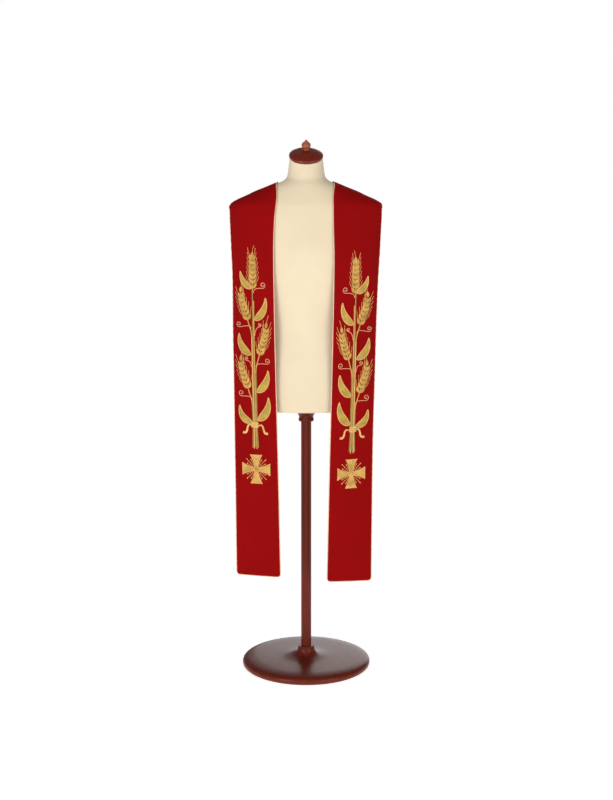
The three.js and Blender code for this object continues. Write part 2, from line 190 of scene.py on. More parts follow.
def bezier(start, leave, arrive, end, count):
    t = np.linspace(0, 1, count)[:, None]
    start, leave, arrive, end = (np.array(p, float) for p in (start, leave, arrive, end))
    return ((1 - t) ** 3 * start + 3 * t * (1 - t) ** 2 * leave
            + 3 * t * t * (1 - t) * arrive + t**3 * end)


def grid_faces(rows, columns, closed=False):
    """Quads of a grid of points, row by row. closed joins the last column to the first."""
    i, j = np.meshgrid(np.arange(rows - 1), np.arange(columns if closed else columns - 1), indexing="ij")
    after = (j + 1) % columns
    quads = np.stack([i * columns + j, i * columns + after, (i + 1) * columns + after,
                      (i + 1) * columns + j], axis=-1)
    return quads.reshape(-1, 4)


def new_mesh(name, points, faces, material, uvs=None, sharp=math.radians(50)):
    """A mesh object that rides on the only body. uvs holds one pair for each point."""
    mesh = bpy.data.meshes.new(name)
    mesh.from_pydata(np.asarray(points).reshape(-1, 3).tolist(), [], [list(map(int, f)) for f in faces])
    mesh.validate()
    mesh.polygons.foreach_set("use_smooth", [True] * len(mesh.polygons))
    mesh.set_sharp_from_angle(angle=sharp)
    if uvs is not None:
        layer = mesh.uv_layers.new(name="Stitch")
        corners = np.empty(len(mesh.loops), int)
        mesh.loops.foreach_get("vertex_index", corners)
        layer.data.foreach_set("uv", np.asarray(uvs, np.float32).reshape(-1, 2)[corners].ravel())
    mesh.materials.append(material)
    made = bpy.data.objects.new(name, mesh)
    bpy.context.scene.collection.objects.link(made)
    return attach(made, "root")


# ---- The drape surface and the form ------------------------------------------


def form_column(key, z):
    return smooth_column(FORM_SECTIONS[:, 0], FORM_SECTIONS[:, FORM_COLUMNS.index(key)], z)


def drape_excess(p):
    """How far points lie outside the drape surface, as a share of the section's size there."""
    x, y, z = p[..., 0], p[..., 1], p[..., 2]
    half = form_column("half", np.maximum(z, WIDEST_Z))
    front = form_column("front", np.maximum(z, FOREMOST_Z))
    back = form_column("back", np.maximum(z, REARMOST_Z))
    power = form_column("power", np.maximum(z, FOREMOST_Z))
    depth = np.where(y < 0, front, back)
    return (np.abs(x / half) ** power + np.abs(y / depth) ** power) ** (1 / power) - 1


def on_drape(points):
    """The nearest points of the drape surface."""
    probe = 0.0005
    p = points.copy()
    for _ in range(6):
        gradient = np.stack([
            (drape_excess(p + offset) - drape_excess(p - offset)) / (2 * probe)
            for offset in np.eye(3) * probe
        ], axis=-1)
        size = (gradient**2).sum(-1, keepdims=True)
        p -= gradient * (drape_excess(p)[..., None] / size)
    return p


def form_ring(z, segments, grow=0.0):
    """The form's outline at that height, moved outwards by grow."""
    angle = np.linspace(0, 2 * math.pi, segments, endpoint=False)
    c, s = np.cos(angle), np.sin(angle)
    power = 2 / form_column("power", z)
    tilt = math.radians(form_column("tilt", z))
    half = form_column("half", z) + grow
    depth = np.where(s < 0, form_column("front", z), form_column("back", z)) + grow
    x = half * np.sign(c) * np.abs(c) ** power
    y = depth * np.sign(s) * np.abs(s) ** power
    return np.column_stack([x, form_column("y", z) + y * math.cos(tilt), z + y * math.sin(tilt)])


# ---- A band of the stole as a surface ----------------------------------------


class Band:
    """place() gives points from how far up the band they are, their share of the way from its inner
    to its outer edge, and their height above the underside of the cloth."""

    ROWS = 520
    COLUMNS = 29

    def __init__(self, name, side, lift, end_set_back, neck_in):
        self.name = name
        self.side = side
        sections = dict(zip(BAND_COLUMNS, BAND_SECTIONS.T.copy()))
        sections["inner_z"][0] += lift
        sections["outer_z"][0] += lift
        sections["outer_y"][0] = sections["inner_y"][0] + end_set_back
        sections["inner_x"][SHOULDER] -= neck_in
        for key in ("inner_x", "outer_x"):
            sections[key] = STOLE_SHIFT + side * sections[key]
            sections[key][-1] = SEAM_X
        self.sections = sections
        t = np.linspace(0, 1, 401)
        middle = self.share(t, np.full_like(t, 0.5))
        reached = np.concatenate([[0], np.cumsum(np.linalg.norm(np.diff(middle, axis=0), axis=1))])
        self.length = reached[-1]
        rows = np.interp(np.linspace(0, self.length, self.ROWS), reached, t)
        t_grid, q_grid = np.meshgrid(rows, np.linspace(0, 1, self.COLUMNS), indexing="ij")
        self.points = self.share(t_grid, q_grid)
        across = np.gradient(self.points, axis=1)
        along = np.gradient(self.points, axis=0)
        self.normals = normalised(np.cross(along, across) * -side)
        self.widths = np.linalg.norm(np.diff(self.points, axis=1), axis=-1).sum(1)

    def edge(self, which, t):
        """The inner or outer edge, at shares t of the way through the sections."""
        keys = [f"{which}_{axis}" for axis in "xyz"]
        return through_points(np.column_stack([self.sections[key] for key in keys]), t)

    def blend(self, key, t):
        """A column of the sections, eased from each to the next."""
        values = self.sections[key]
        at = np.clip(t, 0, 1) * (len(values) - 1)
        i = np.clip(np.floor(at).astype(int), 0, len(values) - 2)
        s = at - i
        s = s * s * (3 - 2 * s)
        return values[i] * (1 - s) + values[i + 1] * s

    def share(self, t, q):
        """Points of what the cloth rests on, at shares t of the sections and q of the width."""
        chord = self.edge("inner", t) * (1 - q[..., None]) + self.edge("outer", t) * q[..., None]
        # The bow is forwards in front and backwards behind, and fades out over the shoulder's ridge.
        toward = np.where(chord[..., 1] < 0, 1, -1) * np.minimum(1, np.abs(chord[..., 1]) / RIDGE_FADE)
        chord[..., 1] -= 4 * q * (1 - q) * self.blend("bow", t) * toward
        rest = self.blend("rest", t)[..., None]
        return np.where(rest > 0, chord * (1 - rest) + on_drape(chord) * rest, chord)

    def grid_value(self, grid, distance, q):
        """Values between those of a grid that has one for each of the band's points."""
        row = np.clip(distance / self.length, 0, 1) * (self.ROWS - 1)
        column = np.clip(q, 0, 1) * (self.COLUMNS - 1)
        i = np.minimum(row.astype(int), self.ROWS - 2)
        j = np.minimum(column.astype(int), self.COLUMNS - 2)
        a, b = (row - i)[..., None], (column - j)[..., None]
        lower = grid[i, j] * (1 - b) + grid[i, j + 1] * b
        upper = grid[i + 1, j] * (1 - b) + grid[i + 1, j + 1] * b
        return lower * (1 - a) + upper * a

    def width(self, distance):
        return np.interp(distance, np.linspace(0, self.length, self.ROWS), self.widths)

    def relief(self, distance, q):
        """Soft creases, and the small puckers that sewing leaves along the edges."""
        height = np.zeros(np.broadcast(distance, q).shape)
        for across, up, length, width, lean, depth in CREASES[self.name]:
            along = (distance - up) / length
            aside = (q - across - lean * along) / width
            height += depth * np.exp(-(aside**2) - along**2 * 2)
        edge = np.minimum(q, 1 - q) / PUCKER["reach"]
        uneven = 0.6 * np.sin(distance * 23) + 1.3 * q
        phase = distance / PUCKER["spacing"] + uneven
        return height + PUCKER["depth"] * np.sin(2 * math.pi * phase) * np.exp(-edge)

    def normal(self, distance, q):
        return normalised(self.grid_value(self.normals, distance, q))

    def place(self, distance, q, height):
        distance, q, height = np.broadcast_arrays(distance, q, height)
        lift = REST_GAP + height + np.maximum(self.relief(distance, q), -DEEPEST_CREASE)
        return self.grid_value(self.points, distance, q) + self.normal(distance, q) * lift[..., None]

    def on_face(self, flat, height):
        """Points above the band's face, from (u, v) pairs."""
        u, v = flat[..., 0], flat[..., 1]
        return self.place(v, 0.5 + u / self.width(v), CLOTH + height)


def band_outline(band, step=0.003):
    """(distance, share) pairs down the inner edge, round the lower end and up the outer edge."""
    down = np.arange(band.length, CORNER_RADIUS, -step)
    turn = np.linspace(math.pi / 2, 0, 9)
    corner = np.column_stack([1 - np.cos(turn), 1 - np.sin(turn)]) * CORNER_RADIUS
    corner[:, 1] /= band.width(corner[:, 0])
    bottom = np.column_stack([np.zeros(30), np.linspace(corner[-1, 1], 1 - corner[-1, 1], 32)[1:-1]])
    half = np.vstack([np.column_stack([down, np.zeros_like(down)]), corner])
    other = half[::-1] * [1, -1] + [0, 1]
    return np.vstack([half, bottom, other])


def build_band(band, material):
    """The cloth: a closed shell, finely meshed, with the outline's rounded lower corners."""
    columns, step = 36, 0.005
    turn = np.linspace(0, math.pi / 2, 7)
    upper = np.arange(CORNER_RADIUS + step, band.length - 0.6 * step, step)
    rows = np.concatenate([CORNER_RADIUS * (1 - np.cos(turn)), upper, [band.length]])
    short = np.maximum(CORNER_RADIUS - rows, 0)
    inset = (CORNER_RADIUS - np.sqrt(CORNER_RADIUS**2 - short**2)) / band.width(rows)
    q = inset[:, None] + (1 - 2 * inset[:, None]) * np.linspace(0, 1, columns)
    distance = np.repeat(rows[:, None], columns, axis=1)
    face = band.place(distance, q, CLOTH)
    under = band.place(distance, q, 0.0)
    for layer in (face, under):
        layer[-1, :, 0] = SEAM_X + band.side * SEAM_GAP
    rings = np.concatenate([face, under[:, ::-1]], axis=1)
    flat = np.stack([(q - 0.5) * band.width(rows)[:, None], distance], axis=-1)
    uvs = np.concatenate([flat, flat[:, ::-1]], axis=1)
    faces = grid_faces(len(rows), 2 * columns, closed=True).tolist()
    last = (len(rows) - 1) * 2 * columns
    for i in range(columns - 1):
        j = 2 * columns - 1 - i
        faces.append([j, j - 1, i + 1, i])
        faces.append([last + i, last + i + 1, last + j - 1, last + j])
    if band.side < 0:
        faces = [f[::-1] for f in faces]
    made = new_mesh(f"stole_band_{band.name}", rings, faces, material, uvs)
    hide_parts(f"band_{band.name}")
    return made


def twisted_cord(path, normals, radius, sides, twist=CORD_TWIST):
    """The points, faces and UVs of a two-strand cord: its two-lobed section turns along the path."""
    step = twist / 9
    path, normals = resampled(path, step, normals)
    tangents = normalised(np.gradient(path, axis=0))
    aside = normalised(np.cross(tangents, normals))
    above = np.cross(aside, tangents)
    angle = np.linspace(0, 2 * math.pi, sides, endpoint=False)[None, :]
    reached = np.arange(len(path))[:, None] * step
    phase = angle - 2 * math.pi * reached / twist
    core, lobe = CORD_LOBES
    size = radius * (core + lobe * np.abs(np.cos(phase)))
    rings = (path[:, None] + (size * np.cos(angle))[..., None] * aside[:, None]
             + (size * np.sin(angle))[..., None] * above[:, None])
    faces = grid_faces(len(path), sides, closed=True)[:, ::-1].tolist()
    faces.append(list(range(sides)))
    faces.append([len(path) * sides - 1 - k for k in range(sides)])
    uvs = np.stack([reached + 0 * angle, phase / (2 * math.pi)], axis=-1)
    return rings, faces, uvs


def build_piping(band, material):
    """The gold cord along a band's edge, just outside the cloth."""
    outline = band_outline(band)
    edge = band.place(outline[:, 0], outline[:, 1], CLOTH / 2)
    normals = band.normal(outline[:, 0], outline[:, 1])
    edge, normals = resampled(edge, 0.002, normals)
    tangents = normalised(np.gradient(edge, axis=0))
    outward = normalised(np.cross(tangents, normals)) * band.side
    path = edge + outward * (PIPING_RADIUS * 0.8)
    path[[0, -1], 0] = SEAM_X + band.side * SEAM_GAP
    rings, faces, uvs = twisted_cord(path, normals, PIPING_RADIUS, 12)
    made = new_mesh(f"stole_piping_{band.name}", rings, faces, material, uvs)
    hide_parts(f"piping_{band.name}")
    return made


# ---- Embroidery --------------------------------------------------------------


class Needlework:
    """Raised stitching on a band's face, gathered into one mesh. Its UV's first coordinate runs
    across the threads and its second along them, both in metres."""

    def __init__(self, band):
        self.band = band
        self.points, self.faces, self.uvs = [], [], []
        self.count = 0

    def add(self, points, faces, uvs):
        self.points.append(np.asarray(points).reshape(-1, 3))
        self.uvs.append(np.asarray(uvs).reshape(-1, 2))
        self.faces += [[self.count + i for i in face] for face in faces]
        self.count += len(self.points[-1])

    def add_flat(self, flat, height, faces, uvs):
        """Adds what is laid out in (u, v), whose faces run anticlockwise there."""
        facing = faces[:, ::self.band.side]
        self.add(self.band.on_face(flat, height), facing.tolist(), uvs)

    def satin(self, line, half_width, crown, slant=0.0, vein=0.0, columns=11, ground=0.0):
        """A padded shape along a line of (u, v) pairs, half_width wide at each of its points. slant
        is how far the threads lean forward on their way out, and vein is a groove's share of crown."""
        line = np.asarray(line)
        half_width = np.broadcast_to(half_width, len(line))
        s = np.sin(np.linspace(-1, 1, columns) * math.pi / 2)
        flat = line[:, None] + beside(line)[:, None] * (half_width[:, None] * s)[..., None]
        dome = np.sqrt(np.clip(1 - s**2, 0, 1)) * (1 - vein * np.exp(-((s / 0.16) ** 2)))
        thin = (half_width / half_width.max())[:, None] ** 0.6
        height = ground + crown * dome * thin - SUNK * (np.abs(s) > 0.999)
        along = np.concatenate([[0], np.cumsum(np.linalg.norm(np.diff(line, axis=0), axis=1))])
        out = half_width[:, None] * s
        uvs = np.stack([along[:, None] - slant * np.abs(out), out], axis=-1)
        self.add_flat(flat, height, grid_faces(len(line), columns), uvs)

    def cord(self, line, radius, sides=8, twist=0.005, ground=0.0):
        """A twisted cord couched down along the line."""
        line = resampled(np.asarray(line), 0.0015)
        u, v = line.T
        path = self.band.on_face(line, np.full(len(line), ground + radius * COUCHED))
        normals = self.band.normal(v, 0.5 + u / self.band.width(v))
        self.add(*twisted_cord(path, normals, radius, sides, twist))

    def dome(self, centre, radius, crown, rings=5, sides=20):
        """A round knot or bead."""
        turn = np.linspace(0, 2 * math.pi, sides, endpoint=False)
        share = np.linspace(0, 1, rings + 1)[:, None]
        disc = np.stack([radius * share * np.cos(turn), radius * share * np.sin(turn)], axis=-1)
        height = crown * np.sqrt(np.clip(1 - share**2, 0, 1)) - SUNK * (share > 0.99)
        faces = grid_faces(rings + 1, sides, closed=True)[:, ::-1]
        self.add_flat(disc + np.asarray(centre), np.repeat(height, sides, axis=1), faces, disc)

    def build(self, name, material, *replaced):
        made = new_mesh(name, np.vstack(self.points), self.faces, material, np.vstack(self.uvs))
        if replaced:
            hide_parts(*replaced)
        return made


def beside(line):
    """For each point of a flat line, the direction to the right of its course."""
    tangents = normalised(np.gradient(line, axis=0))
    return np.column_stack([tangents[:, 1], -tangents[:, 0]])


def leaf_profile(length_share, widest):
    """The half-width of a leaf along its length, as a share of the most."""
    t = np.clip(length_share, 0, 1)
    rise = np.sin(np.clip(t / widest, 0, 1) * math.pi / 2)
    fall = np.cos(np.clip((t - widest) / (1 - widest), 0, 1) * math.pi / 2)
    return np.where(t < widest, rise, fall) ** 0.9


CROSS_FOOT = 0.334  # of the cross's centre above the band's end
CROSS_REACH = 0.047
CROSS_WAIST = 0.008
CROSS_FLARE = 0.020
CROSS_RAYS = ((30, 0.031), (45, 0.040), (60, 0.031))  # angle in degrees, and how far out


def turned_flat(points, quarter):
    """Flat points turned by quarter turns about the cross's centre, and moved to it."""
    c, s = math.cos(quarter * math.pi / 2), math.sin(quarter * math.pi / 2)
    return np.asarray(points) @ np.array([[c, s], [-s, c]]) + [0, CROSS_FOOT]


def stitch_cross(band, materials):
    """A flared cross in padded satin stitch, corded along its outline, with rays between its arms."""
    arms, edges = Needlework(band), Needlework(band)
    t = np.linspace(0, 1, 26)
    reach = CROSS_REACH - 0.0025
    waist, flare = CROSS_WAIST - 0.003, CROSS_FLARE - 0.002
    half = waist + (flare - waist) * t**1.7
    for quarter in range(4):
        line = np.column_stack([0 * t, 0.006 + (reach - 0.006) * t])
        arms.satin(turned_flat(line, quarter), half, 0.0016, vein=0.35, columns=15)
        side = np.column_stack([half + 0.0006, line[:, 1]])
        end = bezier(side[-1], (half[-1] * 0.5, reach - 0.0024), (-half[-1] * 0.5, reach - 0.0024),
                     side[-1] * [-1, 1], 18)
        edges.cord(turned_flat(np.vstack([side, end[1:-1], (side * [-1, 1])[::-1]]), quarter), 0.0009)
        for angle, far in CROSS_RAYS:
            outward = np.array([math.cos(math.radians(angle)), math.sin(math.radians(angle))])
            edges.cord(turned_flat([outward * 0.014, outward * far], quarter), 0.0007)
            edges.dome(turned_flat(outward * (far + 0.002), quarter), 0.0018, 0.0015, 3, 12)
    arms.dome((0, CROSS_FOOT), 0.0088, 0.0026)
    ring = np.linspace(0, 2 * math.pi, 49)
    edges.cord(np.column_stack([0.0096 * np.cos(ring), CROSS_FOOT + 0.0096 * np.sin(ring)]), 0.0009)
    return [
        arms.build(f"cross_satin_{band.name}", materials["gold_satin"], f"cross_{band.name}"),
        edges.build(f"cross_cord_{band.name}", materials["pale_cord"]),
    ]


# All that follows is measured from the cross's centre.
# The bundle's straws: how far across it they run, the height of their foot, the height where they
# leave the bundle, and the thread they are sewn with.
STRAW_RADIUS = 0.0019
STRAWS = (
    (-0.0070, 0.068, 0.300, "olive"),
    (-0.0035, 0.063, 0.515, "gold"),
    (0.0000, 0.070, 0.540, "olive"),
    (0.0035, 0.064, 0.405, "pale"),
    (0.0070, 0.067, 0.200, "olive"),
)
TIE_V = 0.138
GRAIN_PITCH = 14  # from a pair of grains to the next, in millimetres

# The ears of wheat: how far across the bundle their straw runs, the height where it leaves the
# bundle, then the ear's foot and tip.
EARS = (
    (0.0070, 0.200, (0.0190, 0.246), (0.0430, 0.336)),
    (-0.0070, 0.300, (-0.0190, 0.348), (-0.0430, 0.438)),
    (0.0035, 0.405, (0.0160, 0.452), (0.0400, 0.542)),
    (0.0000, 0.540, (0.0000, 0.546), (-0.0020, 0.645)),
)

# The leaves: foot, the curve's two handles and tip, then the most half-width.
LEAVES = (
    ((-0.007, 0.152), (-0.021, 0.156), (-0.049, 0.176), (-0.045, 0.222), 0.0112),
    ((0.007, 0.144), (0.023, 0.146), (0.049, 0.156), (0.049, 0.194), 0.0098),
    ((-0.007, 0.238), (-0.020, 0.242), (-0.047, 0.262), (-0.046, 0.304), 0.0106),
    ((0.007, 0.350), (0.021, 0.354), (0.048, 0.372), (0.046, 0.412), 0.0106),
    ((-0.005, 0.455), (-0.017, 0.459), (-0.045, 0.478), (-0.043, 0.520), 0.0101),
    ((0.002, 0.550), (0.013, 0.550), (0.035, 0.562), (0.038, 0.598), 0.0084),
)

# The curls: foot, the centre of the coil at its end, the coil's radius, and the way it turns.
CURLS = (
    ((0.007, 0.212), (0.042, 0.232), 0.0095, 1),
    ((-0.007, 0.312), (-0.044, 0.332), 0.0090, -1),
    ((0.007, 0.312), (0.022, 0.338), 0.0065, 1),
    ((-0.006, 0.408), (-0.022, 0.440), 0.0060, -1),
    ((0.006, 0.428), (0.046, 0.440), 0.0085, 1),
    ((-0.003, 0.534), (-0.034, 0.558), 0.0095, -1),
)

# The sheaf's pieces, and the thread of each.
SHEAF_THREADS = {
    "straw": "gold_cord",
    "stalk": "olive_cord",
    "grain": "gold_satin",
    "awn": "pale_cord",
    "leaf": "olive_satin",
    "edge": "pale_cord",
    "vein": "gold_cord",
    "curl": "rose_cord",
    "ribbon": "pale_satin",
}


def stitch_bundle(sewn):
    """The straws: side by side, drawn together at the tie and splayed at their cut feet."""
    for across, foot, top, thread in STRAWS:
        v = np.arange(foot, top, 0.004)
        splay = 1 + 0.55 * np.clip((TIE_V - v) / TIE_V, 0, 1) ** 1.4
        gather = 1 - 0.13 * np.exp(-(((v - TIE_V) / 0.03) ** 2))
        line = np.column_stack([across * splay * gather, v]) + [0, CROSS_FOOT]
        sewn[thread].cord(line, STRAW_RADIUS, twist=0.009)


def stitch_grain(grains, awns, foot, direction, size, bend):
    """One grain, its tip bent towards the ear's tip, and its awn."""
    t = np.linspace(0, 1, 13)
    aside = np.array([direction[1], -direction[0]]) * bend
    body = foot + direction * (size * t)[:, None] - aside * (0.0030 * t**2)[:, None]
    grains.satin(body, 0.0005 + 0.0044 * leaf_profile(t, 0.42), 0.0024, slant=0.7, vein=0.3, columns=9)
    tip = body[-1]
    awn = bezier(tip, tip + direction * 0.006, tip + direction * 0.012 - aside * 0.003,
                 tip + direction * 0.019 - aside * 0.006, 9)
    awns.cord(awn, 0.0006, sides=5, twist=0.003)


def stitch_ear(straws, grains, awns, across, leaves_at, foot, tip):
    """An ear of wheat: its straw from the bundle to its tip, and grains in pairs along it."""
    start, foot, tip = (np.array(p) + [0, CROSS_FOOT] for p in ((across, leaves_at - 0.004), foot, tip))
    rise = foot[1] - start[1]
    ahead = normalised(tip - foot)
    neck = bezier(start, start + [0, rise * 0.4], foot - ahead * rise * 0.35, foot, 16)
    line = bezier(foot, foot + ahead * 0.03, tip - [0, 0.035], tip, 60)
    straws.cord(np.vstack([neck, line[1:-6]]), STRAW_RADIUS * 0.9, twist=0.008)
    line = resampled(line, 0.001)
    tangents = normalised(np.gradient(line, axis=0))
    pairs = (len(line) - 1) // GRAIN_PITCH
    for k in range(pairs):
        at, share = 2 + GRAIN_PITCH * k, k / pairs
        for way in (-1, 1):
            turn = way * math.radians(42 - 12 * share)
            c, s = math.cos(turn), math.sin(turn)
            direction = tangents[at] @ np.array([[c, -s], [s, c]])
            root = line[at] + beside(line)[at] * way * 0.0016
            stitch_grain(grains, awns, root, direction, 0.0205 * (1 - 0.25 * share**2), way)
    stitch_grain(grains, awns, line[-1] - tangents[-1] * 0.008, tangents[-1], 0.019, 1)


def stitch_leaf(satins, edges, veins, foot, leave, arrive, tip, half):
    """A broad leaf: slanting satin stitch on each side of its vein, and a cord round it."""
    count = 60
    line = bezier(foot, leave, arrive, tip, count) + [0, CROSS_FOOT]
    t = np.linspace(0, 1, count)
    width = 0.0003 + half * leaf_profile(t, 0.46)
    satins.satin(line, width, 0.0021, slant=0.9, vein=0.6, columns=17)
    right = line + beside(line) * width[:, None]
    left = line - beside(line) * width[:, None]
    edges.cord(np.vstack([right, left[-2::-1]]), 0.0013, ground=0.0002)
    veins.cord(line[:-5], 0.0009, ground=0.0010)
    for share in (0.22, 0.38, 0.54, 0.70):
        at = int(share * count)
        for edge in (right, left):
            end = line[at] * 0.28 + edge[at + 8] * 0.72
            veins.cord(np.array([line[at], end]), 0.0005, sides=5, ground=0.0014)


def curl_line(foot, centre, radius, way):
    """From the foot up and outwards to a coil, which tightens as it turns."""
    turn = np.linspace(-0.5 * math.pi, 1.7 * math.pi, 60)
    size = radius * (1 - 0.70 * (turn - turn[0]) / (turn[-1] - turn[0]))
    coil = np.array(centre) + np.column_stack([size * np.cos(turn) * way, size * np.sin(turn)])
    along = np.array([radius * way, 0])
    stem = bezier(foot, np.array(foot) + [0, 0.016], coil[0] - along * 1.2, coil[0], 24)
    return np.vstack([stem[:-1], coil]) + [0, CROSS_FOOT]


def stitch_tie(ribbon):
    """Three turns of ribbon round the straws, and its two loose ends."""
    s = np.linspace(-1, 1, 15)
    for k in (-1, 0, 1):
        v = CROSS_FOOT + TIE_V + k * 0.0058 - 0.0016 * np.cos(s * math.pi / 2)
        ribbon.satin(np.column_stack([0.0112 * s, v]), 0.0029, 0.0016, columns=9, ground=0.0024)
    t = np.linspace(0, 1, 24)
    for way in (-1, 1):
        tail = bezier((way * 0.010, TIE_V - 0.004), (way * 0.034, TIE_V + 0.008),
                      (way * 0.018, TIE_V - 0.034), (way * 0.040, TIE_V - 0.026), 24)
        ribbon.satin(tail + [0, CROSS_FOOT], 0.0022 + 0.0016 * t, 0.0011, slant=0.3, columns=9)


def stitch_sheaf(band, materials):
    """The tied sheaf above the cross, one mesh for each kind of stitching."""
    works = {name: Needlework(band) for name in SHEAF_THREADS}
    stitch_bundle({"gold": works["straw"], "olive": works["stalk"], "pale": works["awn"]})
    for across, leaves_at, foot, tip in EARS:
        stitch_ear(works["straw"], works["grain"], works["awn"], across, leaves_at, foot, tip)
    for leaf in LEAVES:
        stitch_leaf(works["leaf"], works["edge"], works["vein"], *leaf)
    for foot, centre, radius, way in CURLS:
        line = curl_line(foot, centre, radius, way)
        works["curl"].cord(line, 0.0012, sides=6)
        works["curl"].dome(line[-1], 0.0020, 0.0018, 3, 12)
    stitch_tie(works["ribbon"])
    return [works[name].build(f"sheaf_{name}_{band.name}", materials[thread])
            for name, thread in SHEAF_THREADS.items()]


# ---- The dress form and its stand --------------------------------------------

# Turned profiles, as the part's source has them: (radius, height) pairs.
AXIS = 0.0004  # the radius at which a turned surface is closed
CAP = (
    (0.0485, 0), (0.051, 0.0025), (0.051, 0.0075), (0.0485, 0.0105), (0.042, 0.0145), (0.031, 0.0195),
    (0.018, 0.0232), (0.008, 0.0246), (AXIS, 0.0248),
)
FINIAL = (
    (0.009, 0), (0.0096, 0.0015), (0.008, 0.0036), (0.0104, 0.0066), (0.0132, 0.0106), (0.0138, 0.014),
    (0.0124, 0.0184), (0.0088, 0.0224), (0.0054, 0.025), (0.0044, 0.027), (0.0032, 0.0296), (AXIS, 0.031),
)
BASE = (
    (0.195, 0), (0.200, 0.005), (0.200, 0.015), (0.194, 0.021), (0.176, 0.025), (0.118, 0.0275),
    (0.060, 0.030), (0.034, 0.036), (0.027, 0.046), (0.025, 0.060),
)
COLLAR = (
    (0.022, 0), (0.024, 0.004), (0.022, 0.014), (0.030, 0.026), (0.056, 0.034), (0.060, 0.037),
    (0.060, 0.040),
)
POLE_RADIUS = 0.016
JOIN_GAP = 0.0003  # between two wooden pieces, or wood and form


def capped_faces(rows, columns):
    """The faces of a stack of rings, closed at both ends."""
    faces = grid_faces(rows, columns, closed=True).tolist()
    faces.append(list(range(columns))[::-1])
    faces.append([(rows - 1) * columns + k for k in range(columns)])
    return faces


def build_form(material):
    """The torso: a smooth closed shell of rings, with a rounded edge round its flat underside."""
    segments = 120
    low, high = FORM_SECTIONS[0, 0], FORM_SECTIONS[-1, 0]
    shoulders = 1.38  # above this the outline changes fast, so the rings lie closer together
    torso = np.arange(low + 0.006, shoulders, 0.008)
    levels = np.concatenate([torso, np.arange(shoulders, high, 0.003), [high]])
    rings = [form_ring(z, segments) for z in levels]
    lip = [form_ring(low, segments, grow) for grow in (-0.08, -0.02, -0.005)]
    lip.append(form_ring(low + 0.0018, segments, -0.0012))
    rings = lip + rings
    made = new_mesh("dress_form", np.vstack(rings), capped_faces(len(rings), segments), material)
    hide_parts("form_torso")
    return made


def turned(name, node, profile, material, base=(0, 0, 0), tilt=0.0, segments=96):
    """A turned piece that stands for the node: profile holds (radius, height) pairs."""
    profile = np.asarray(profile, float)
    angle = np.linspace(0, 2 * math.pi, segments, endpoint=False)
    x, y = profile[:, :1] * np.cos(angle), profile[:, :1] * np.sin(angle)
    z = np.repeat(profile[:, 1:], segments, axis=1)
    c, s = math.cos(tilt), math.sin(tilt)
    points = np.stack([x, y * c - z * s, y * s + z * c], axis=-1) + np.array(base)
    faces = capped_faces(len(profile), segments)
    made = new_mesh(name, points, faces, material, sharp=math.radians(35))
    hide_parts(node)
    return made


def rounded(profile, steps=4):
    """A smooth curve through the profile's points, which begins on the axis at the first one's height."""
    profile = np.asarray(profile, float)
    t = np.linspace(0, 1, (len(profile) - 1) * steps + 1)
    smooth = through_points(profile, t)
    smooth[:, 0] = np.maximum(smooth[:, 0], AXIS)
    return np.vstack([[AXIS, profile[0, 1]], smooth])


def build_stand(materials):
    """The wooden pieces: cap and finial, tilted like the neck's top, and the upright stand."""
    wood = materials["mahogany"]
    neck = dict(zip(FORM_COLUMNS, FORM_SECTIONS[-1]))
    tilt = math.radians(neck["tilt"])
    seat = np.array([0, neck["y"], neck["z"]])
    up = np.array([0, -math.sin(tilt), math.cos(tilt)])
    cap_seat = seat + up * JOIN_GAP
    turned("cap_of_neck", "neck_cap", rounded(CAP), materials["cap_wood"], cap_seat, tilt)
    finial_seat = seat + up * (CAP[-2][1] + 2 * JOIN_GAP)
    turned("cap_finial", "finial", rounded(FINIAL, 6), materials["finial_wood"], finial_seat, tilt)
    base = np.vstack([rounded(BASE), [AXIS, BASE[-1][1]]])
    turned("base_disc", "stand_base", base, wood)
    collar = np.vstack([rounded(COLLAR), [AXIS, COLLAR[-1][1]]])
    collar_foot = FORM_SECTIONS[0, 0] - JOIN_GAP - COLLAR[-1][1]
    turned("form_collar", "stand_collar", collar, wood, (0, 0, collar_foot))
    levels = np.linspace(BASE[-1][1] + JOIN_GAP, collar_foot - JOIN_GAP, 12)
    pole = [(AXIS, levels[0])] + [(POLE_RADIUS, z) for z in levels] + [(AXIS, levels[-1])]
    turned("stand_post", "stand_pole", pole, wood, segments=48)


# ---- Materials ---------------------------------------------------------------


